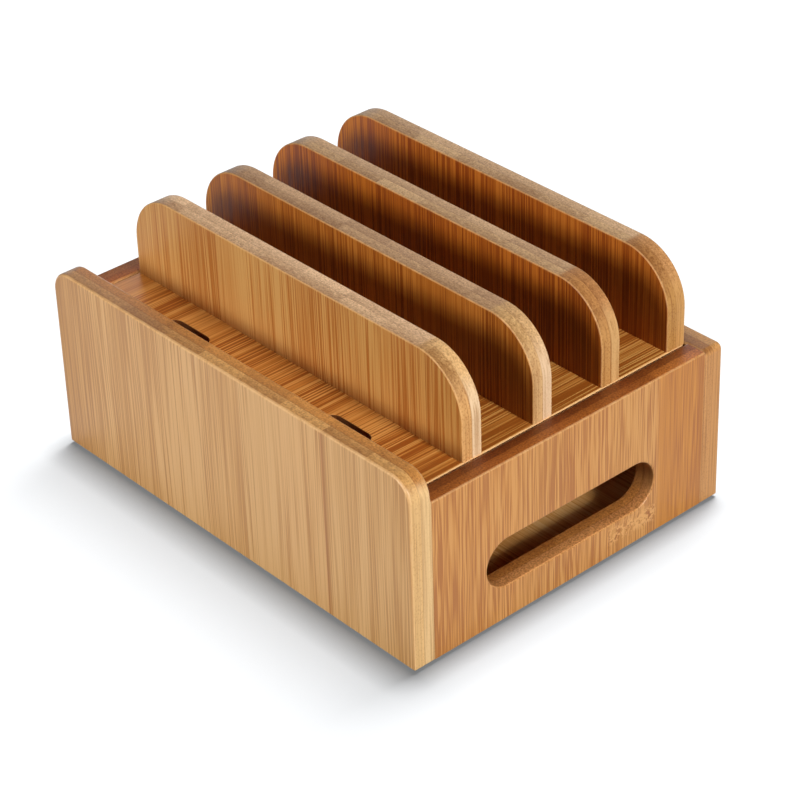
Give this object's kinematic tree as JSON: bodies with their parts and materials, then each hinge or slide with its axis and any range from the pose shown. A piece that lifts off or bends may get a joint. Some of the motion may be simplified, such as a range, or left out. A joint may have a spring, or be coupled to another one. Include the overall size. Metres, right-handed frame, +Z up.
{
  "type": "charging station organizer",
  "caption": "Bamboo box with a slotted opening in each end for cables and a lift-off top board that carries upright dividers for charging phones and tablets.",
  "frame": {"origin": "bottom centre of the whole object, on the surface it stands on", "axes": "+X along the long side towards the end panel seen in the picture, +Y from the tall front panel to the back panel, +Z up"},
  "size_m": [0.1702, 0.1296, 0.0889],
  "materials": {
    "bamboo_front": "caramel bamboo, satin clear lacquer, fine upright grain",
    "bamboo_end": "caramel bamboo, satin clear lacquer, upright grain",
    "bamboo_board": "caramel bamboo, satin clear lacquer, grain from front to back",
    "bamboo_divider": "caramel bamboo, satin clear lacquer, upright grain",
    "bamboo_ledge": "plain sanded bamboo strip",
    "dowel_wood": "raw fluteless wood dowel",
    "screw_steel": "zinc-plated wood screw",
    "pad_rubber": "matt black non-slip pad"
  },
  "bodies": {
    "base": {"front_panel": "bamboo_front", "back_panel": "bamboo_front", "left_end_panel": "bamboo_end", "right_end_panel": "bamboo_end", "bottom_board": "bamboo_board", "front_left_dowels": "dowel_wood", "front_right_dowels": "dowel_wood", "back_left_dowels": "dowel_wood", "back_right_dowels": "dowel_wood", "left_lid_ledge": "bamboo_ledge", "right_lid_ledge": "bamboo_ledge", "left_ledge_screws": "screw_steel", "right_ledge_screws": "screw_steel", "foot_pad_front_left": "pad_rubber", "foot_pad_front_right": "pad_rubber", "foot_pad_back_left": "pad_rubber", "foot_pad_back_right": "pad_rubber"},
    "lid": {"top_board": "bamboo_board", "divider_1": "bamboo_divider", "divider_2": "bamboo_divider", "divider_3": "bamboo_divider", "divider_4": "bamboo_divider", "divider_1_screws": "screw_steel", "divider_2_screws": "screw_steel", "divider_3_screws": "screw_steel", "divider_4_screws": "screw_steel"}
  },
  "joints": [
    {"name": "lid_lift", "type": "slide", "parent": "base", "child": "lid", "axis": [0, 0, 1], "range_m": [0, 0.04]}
  ]
}
